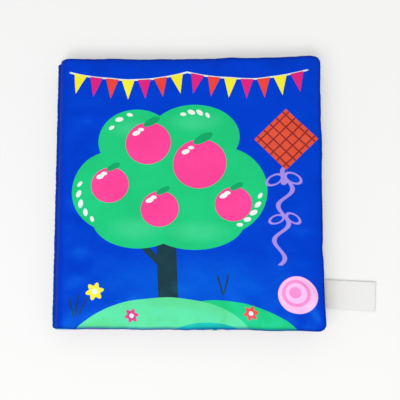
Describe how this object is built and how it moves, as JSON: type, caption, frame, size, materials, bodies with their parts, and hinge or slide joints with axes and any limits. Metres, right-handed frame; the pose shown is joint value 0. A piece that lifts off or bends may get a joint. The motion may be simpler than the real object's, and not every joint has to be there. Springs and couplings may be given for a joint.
{
  "type": "crinkle cloth book",
  "caption": "Soft square cloth book of padded crinkle leaves sewn along one spine, with turning pages and a folded ribbon label at the fore edge.",
  "frame": {"origin": "middle of the flat underside of the back cover, with the book closed and lying on it", "axes": "+X from the spine to the fore edge, +Y towards the top of the page, +Z out of the front cover"},
  "size_m": [0.2142, 0.183, 0.0229],
  "materials": {
    "cover_fabric": "satin",
    "page_fabric_sky": "satin",
    "page_fabric_yellow": "satin",
    "page_fabric_mint": "satin",
    "page_fabric_coral": "satin",
    "page_fabric_lilac": "satin",
    "wadding": "matte",
    "crinkle_film": "gloss",
    "label_ribbon": "satin"
  },
  "bodies": {
    "back_cover": {"back_cover_outer_panel": "cover_fabric", "back_cover_inner_panel": "page_fabric_lilac", "back_cover_wadding": "wadding", "back_cover_crinkle_film": "crinkle_film", "spine_seam": "cover_fabric"},
    "leaf_4": {"leaf_4_front_panel": "page_fabric_coral", "leaf_4_back_panel": "page_fabric_lilac", "leaf_4_wadding": "wadding", "leaf_4_crinkle_film": "crinkle_film"},
    "leaf_3": {"leaf_3_front_panel": "page_fabric_mint", "leaf_3_back_panel": "page_fabric_coral", "leaf_3_wadding": "wadding", "leaf_3_crinkle_film": "crinkle_film"},
    "leaf_2": {"leaf_2_front_panel": "page_fabric_yellow", "leaf_2_back_panel": "page_fabric_mint", "leaf_2_wadding": "wadding", "leaf_2_crinkle_film": "crinkle_film"},
    "leaf_1": {"leaf_1_front_panel": "page_fabric_sky", "leaf_1_back_panel": "page_fabric_yellow", "leaf_1_wadding": "wadding", "leaf_1_crinkle_film": "crinkle_film"},
    "front_cover": {"front_cover_outer_panel": "cover_fabric", "front_cover_inner_panel": "page_fabric_sky", "front_cover_wadding": "wadding", "front_cover_crinkle_film": "crinkle_film"},
    "label": {"ribbon_label": "label_ribbon"}
  },
  "joints": [
    {"name": "leaf_4_hinge", "type": "hinge", "parent": "back_cover", "child": "leaf_4", "pos_m": [-0.08775, 0, 0.01145], "axis": [0, -1, 0], "range_deg": [0, 180]},
    {"name": "leaf_3_hinge", "type": "hinge", "parent": "leaf_4", "child": "leaf_3", "pos_m": [-0.08775, 0, 0.01145], "axis": [0, -1, 0], "range_deg": [0, 180]},
    {"name": "leaf_2_hinge", "type": "hinge", "parent": "leaf_3", "child": "leaf_2", "pos_m": [-0.08775, 0, 0.01145], "axis": [0, -1, 0], "range_deg": [0, 180]},
    {"name": "leaf_1_hinge", "type": "hinge", "parent": "leaf_2", "child": "leaf_1", "pos_m": [-0.08775, 0, 0.01145], "axis": [0, -1, 0], "range_deg": [0, 180]},
    {"name": "front_cover_hinge", "type": "hinge", "parent": "leaf_1", "child": "front_cover", "pos_m": [-0.08775, 0, 0.01145], "axis": [0, -1, 0], "range_deg": [0, 180]},
    {"name": "label_hinge", "type": "hinge", "parent": "back_cover", "child": "label", "pos_m": [0.08818, -0.0668, 0.00225], "axis": [0, -1, 0], "range_deg": [0, 90]}
  ]
}
